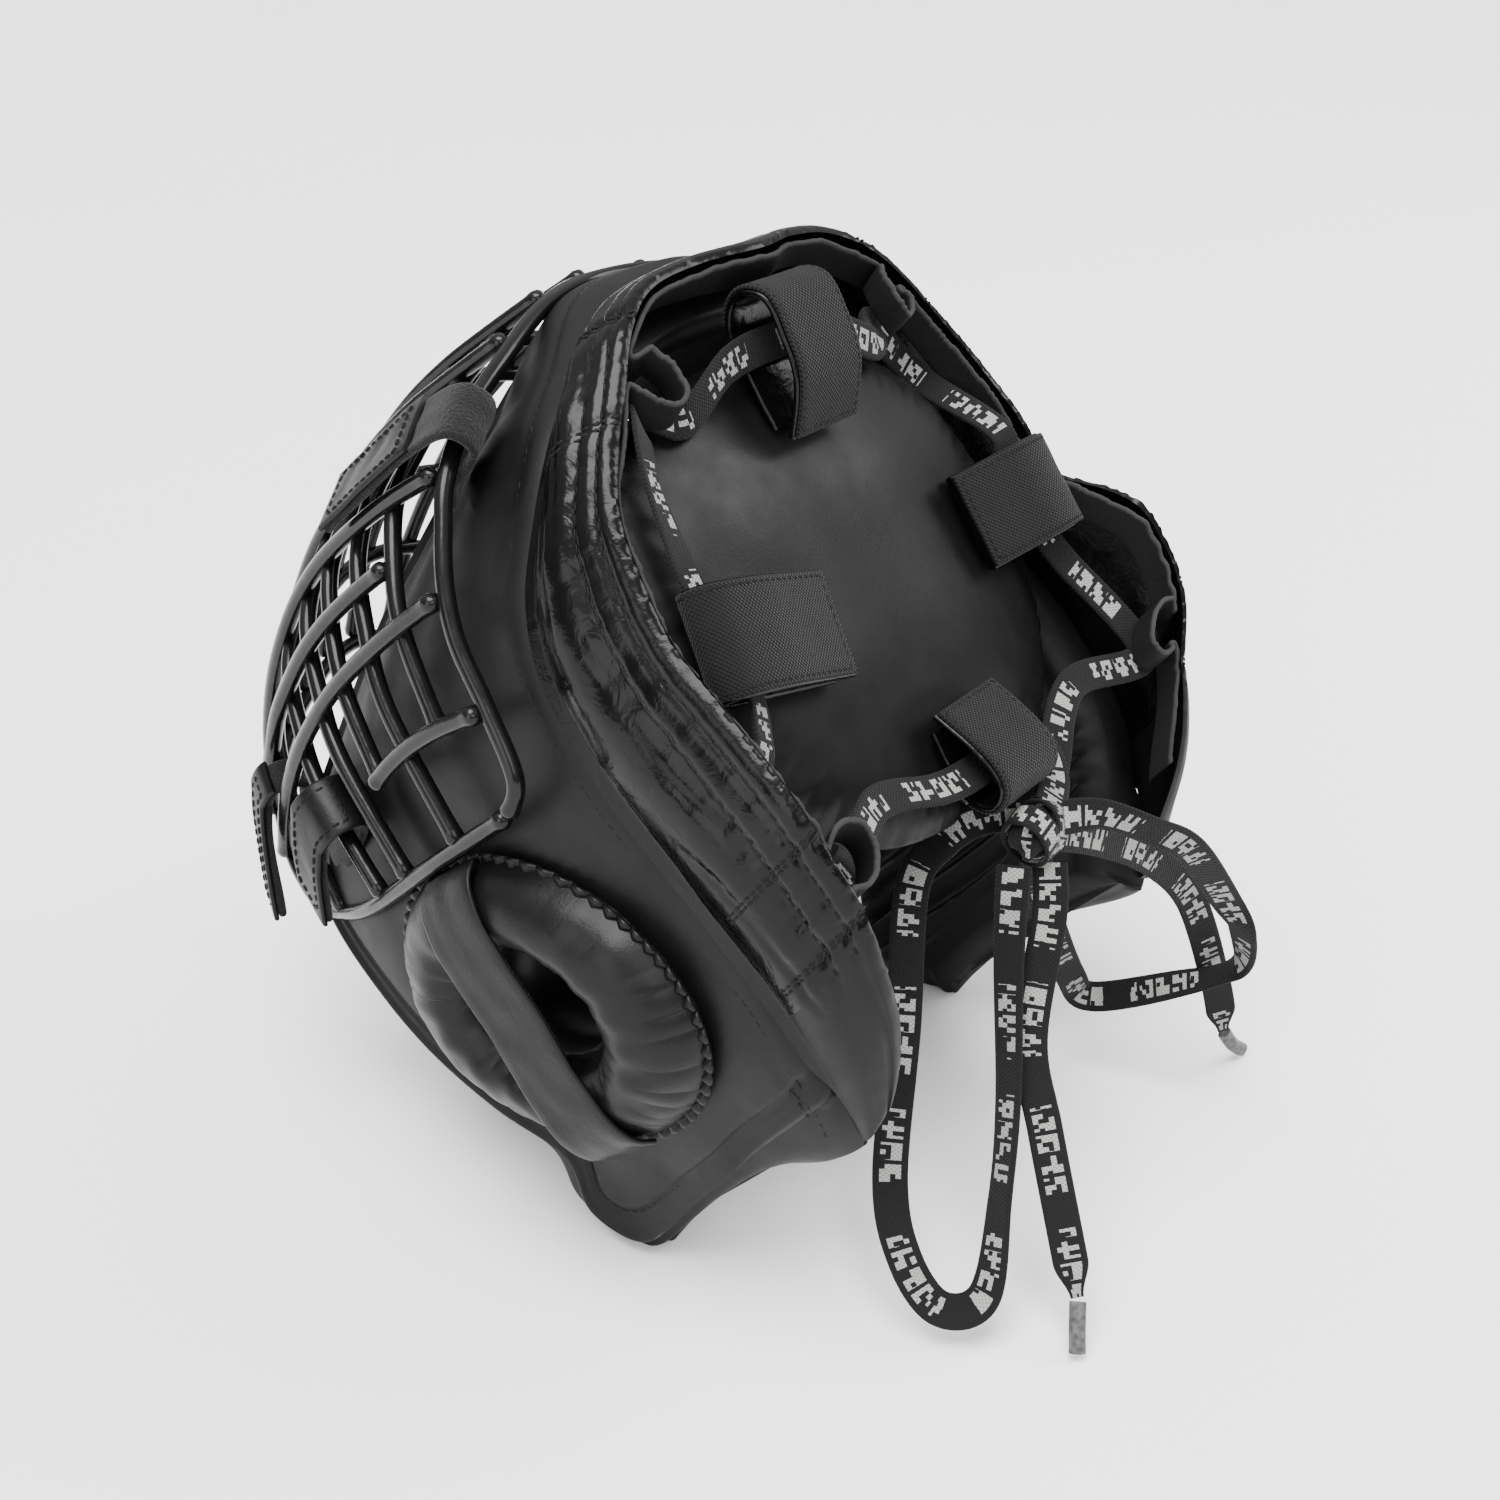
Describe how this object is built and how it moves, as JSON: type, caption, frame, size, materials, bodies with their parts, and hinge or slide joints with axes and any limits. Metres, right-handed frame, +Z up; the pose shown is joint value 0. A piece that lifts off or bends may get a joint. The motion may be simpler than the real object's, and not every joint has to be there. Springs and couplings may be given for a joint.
{
  "type": "boxing headgear with face grille",
  "caption": "Padded black boxing headgear with a coated wire face grille, gathered ear rings, a laced adjustable crown pad and a tied bow at the back, standing on its rear flaps.",
  "frame": {"origin": "on the floor, in the middle of the box around the headgear without its loose lace", "axes": "+Z up from the floor, the face and its grille towards -Y, the wearer's left towards +X; the headgear leans back as it stands"},
  "size_m": [0.2256, 0.304, 0.2539],
  "materials": {
    "shell_leather": "matte",
    "gloss_leather": "gloss",
    "strap_leather": "satin",
    "lace_strip": "matte",
    "hook_loop_tape": "matte",
    "coated_wire": "gloss",
    "lace": "matte",
    "lace_tip": "gloss"
  },
  "bodies": {
    "root": {"padded_shell": "shell_leather", "crown_band": "gloss_leather", "lace_strip": "lace_strip", "crown_pad": "shell_leather", "face_grille": "coated_wire", "chin_strap": "strap_leather", "crown_lace": "lace", "lace_knot": "lace", "bow_loop_left": "lace", "bow_loop_right": "lace", "lace_end_left": "lace", "lace_end_right": "lace", "lace_tip_left": "lace_tip", "lace_tip_right": "lace_tip", "grille_strap_brow_left": "hook_loop_tape", "grille_strap_cheek_left": "hook_loop_tape", "grille_strap_jaw_left": "hook_loop_tape", "ear_ring_left": "shell_leather", "ear_strap_left": "strap_leather", "grille_strap_brow_right": "hook_loop_tape", "grille_strap_cheek_right": "hook_loop_tape", "grille_strap_jaw_right": "hook_loop_tape", "ear_ring_right": "shell_leather", "ear_strap_right": "strap_leather", "crown_tab_front": "hook_loop_tape", "crown_tab_left": "hook_loop_tape", "crown_tab_right": "hook_loop_tape", "crown_tab_back": "hook_loop_tape"}
  },
  "joints": []
}
